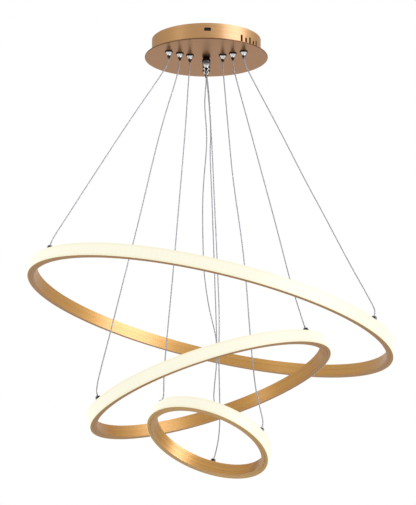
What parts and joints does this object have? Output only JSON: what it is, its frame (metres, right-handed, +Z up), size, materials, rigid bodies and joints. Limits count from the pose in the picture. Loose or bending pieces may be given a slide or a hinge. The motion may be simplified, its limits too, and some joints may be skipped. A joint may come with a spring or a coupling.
{
  "type": "led ring chandelier",
  "caption": "Hanging light: leaning slim light rings of falling size hung on thin cords from a flat round ceiling canopy.",
  "frame": {"origin": "middle of the ceiling bracket's top face, on the ceiling", "axes": "+Z up; seen from the front, which is the -Y side, +X is to the right"},
  "size_m": [0.5904, 0.6016, 0.7169],
  "materials": {
    "ring_gold": "satin gold anodised aluminium profile, finely brushed along its length",
    "drum_gold": "gold plated steel, brushed round the drum",
    "plate_gold": "gold plated steel, smooth half-mirror finish",
    "diffuser": "opal silicone, warm white, lit from inside",
    "led_strip": "white flexible circuit strip with light emitting chips",
    "cord_jacket": "clear plastic jacket over fine tinned wire",
    "chrome": "polished chrome plating",
    "zinc_steel": "zinc plated steel",
    "black_sheet": "matt black plastic sheet",
    "driver_case": "white moulded plastic",
    "terminal_plastic": "natural nylon"
  },
  "bodies": {
    "canopy": {"ceiling_bracket": "zinc_steel", "centre_stud": "zinc_steel", "bracket_nut": "zinc_steel", "canopy_drum": "drum_gold", "dust_screen": "black_sheet", "canopy_plate": "plate_gold", "plate_nuts": "zinc_steel", "ball_nut": "chrome", "led_driver_left": "driver_case", "led_driver_right": "driver_case", "terminal_block": "terminal_plastic", "gripper_nuts": "zinc_steel", "gripper_large_left": "chrome", "gripper_large_right": "chrome", "gripper_large_far": "chrome", "gripper_middle_left": "chrome", "gripper_middle_right": "chrome", "gripper_middle_far": "chrome", "gripper_small_left": "chrome", "gripper_small_right": "chrome", "gripper_small_far": "chrome", "large_cord_left": "cord_jacket", "large_cord_right": "cord_jacket", "large_cord_far_upper": "cord_jacket", "middle_cord_left": "cord_jacket", "middle_cord_right": "cord_jacket", "middle_cord_far_upper": "cord_jacket", "small_cord_left": "cord_jacket", "small_cord_right": "cord_jacket", "small_cord_far_upper": "cord_jacket"},
    "large_cord_ends": {"large_side_ferrules": "chrome", "large_cord_far_lower": "cord_jacket"},
    "large_ring": {"large_channel": "ring_gold", "large_diffuser": "diffuser", "large_led_strip": "led_strip", "large_hangers": "chrome", "large_far_ferrule": "chrome"},
    "middle_cord_ends": {"middle_side_ferrules": "chrome", "middle_cord_far_lower": "cord_jacket"},
    "middle_ring": {"middle_channel": "ring_gold", "middle_diffuser": "diffuser", "middle_led_strip": "led_strip", "middle_hangers": "chrome", "middle_far_ferrule": "chrome"},
    "small_cord_ends": {"small_side_ferrules": "chrome", "small_cord_far_lower": "cord_jacket"},
    "small_ring": {"small_channel": "ring_gold", "small_diffuser": "diffuser", "small_led_strip": "led_strip", "small_hangers": "chrome", "small_far_ferrule": "chrome"},
    "plunger_large_left": {"plunger_large_left": "chrome"},
    "plunger_large_right": {"plunger_large_right": "chrome"},
    "plunger_large_far": {"plunger_large_far": "chrome"},
    "plunger_middle_left": {"plunger_middle_left": "chrome"},
    "plunger_middle_right": {"plunger_middle_right": "chrome"},
    "plunger_middle_far": {"plunger_middle_far": "chrome"},
    "plunger_small_left": {"plunger_small_left": "chrome"},
    "plunger_small_right": {"plunger_small_right": "chrome"},
    "plunger_small_far": {"plunger_small_far": "chrome"}
  },
  "joints": [
    {"name": "large_height", "type": "slide", "parent": "canopy", "child": "large_cord_ends", "axis": [0, 0, 1], "range_m": [-0.2, 0.1], "deforming": ["large_cord_left", "large_cord_right", "large_cord_far_upper", "large_cord_far_lower"]},
    {"name": "large_tilt", "type": "hinge", "parent": "large_cord_ends", "child": "large_ring", "pos_m": [0.00721, -0.13908, -0.43483], "axis": [0.9741, -0.0348, -0.2234], "range_deg": [-3, 3], "deforming": ["large_cord_far_lower"]},
    {"name": "middle_height", "type": "slide", "parent": "canopy", "child": "middle_cord_ends", "axis": [0, 0, 1], "range_m": [-0.2, 0.1], "deforming": ["middle_cord_left", "middle_cord_right", "middle_cord_far_upper", "middle_cord_far_lower"]},
    {"name": "middle_tilt", "type": "hinge", "parent": "middle_cord_ends", "child": "middle_ring", "pos_m": [-0.00641, -0.09317, -0.55372], "axis": [0.9503, -0.0433, 0.3082], "range_deg": [-4, 4], "deforming": ["middle_cord_far_lower"]},
    {"name": "small_height", "type": "slide", "parent": "canopy", "child": "small_cord_ends", "axis": [0, 0, 1], "range_m": [-0.2, 0.1], "deforming": ["small_cord_left", "small_cord_right", "small_cord_far_upper", "small_cord_far_lower"]},
    {"name": "small_tilt", "type": "hinge", "parent": "small_cord_ends", "child": "small_ring", "pos_m": [0.0077, -0.04753, -0.62901], "axis": [0.9489, -0.1454, -0.2802], "range_deg": [-8, 8], "deforming": ["small_cord_far_lower"]},
    {"name": "release_large_left", "type": "slide", "parent": "canopy", "child": "plunger_large_left", "axis": [0, 0, 1], "range_m": [0, 0.002], "stiffness_N_per_m": 300, "springref_m": -0.002},
    {"name": "release_large_right", "type": "slide", "parent": "canopy", "child": "plunger_large_right", "axis": [0, 0, 1], "range_m": [0, 0.002], "stiffness_N_per_m": 300, "springref_m": -0.002},
    {"name": "release_large_far", "type": "slide", "parent": "canopy", "child": "plunger_large_far", "axis": [0, 0, 1], "range_m": [0, 0.002], "stiffness_N_per_m": 300, "springref_m": -0.002},
    {"name": "release_middle_left", "type": "slide", "parent": "canopy", "child": "plunger_middle_left", "axis": [0, 0, 1], "range_m": [0, 0.002], "stiffness_N_per_m": 300, "springref_m": -0.002},
    {"name": "release_middle_right", "type": "slide", "parent": "canopy", "child": "plunger_middle_right", "axis": [0, 0, 1], "range_m": [0, 0.002], "stiffness_N_per_m": 300, "springref_m": -0.002},
    {"name": "release_middle_far", "type": "slide", "parent": "canopy", "child": "plunger_middle_far", "axis": [0, 0, 1], "range_m": [0, 0.002], "stiffness_N_per_m": 300, "springref_m": -0.002},
    {"name": "release_small_left", "type": "slide", "parent": "canopy", "child": "plunger_small_left", "axis": [0, 0, 1], "range_m": [0, 0.002], "stiffness_N_per_m": 300, "springref_m": -0.002},
    {"name": "release_small_right", "type": "slide", "parent": "canopy", "child": "plunger_small_right", "axis": [0, 0, 1], "range_m": [0, 0.002], "stiffness_N_per_m": 300, "springref_m": -0.002},
    {"name": "release_small_far", "type": "slide", "parent": "canopy", "child": "plunger_small_far", "axis": [0, 0, 1], "range_m": [0, 0.002], "stiffness_N_per_m": 300, "springref_m": -0.002}
  ]
}
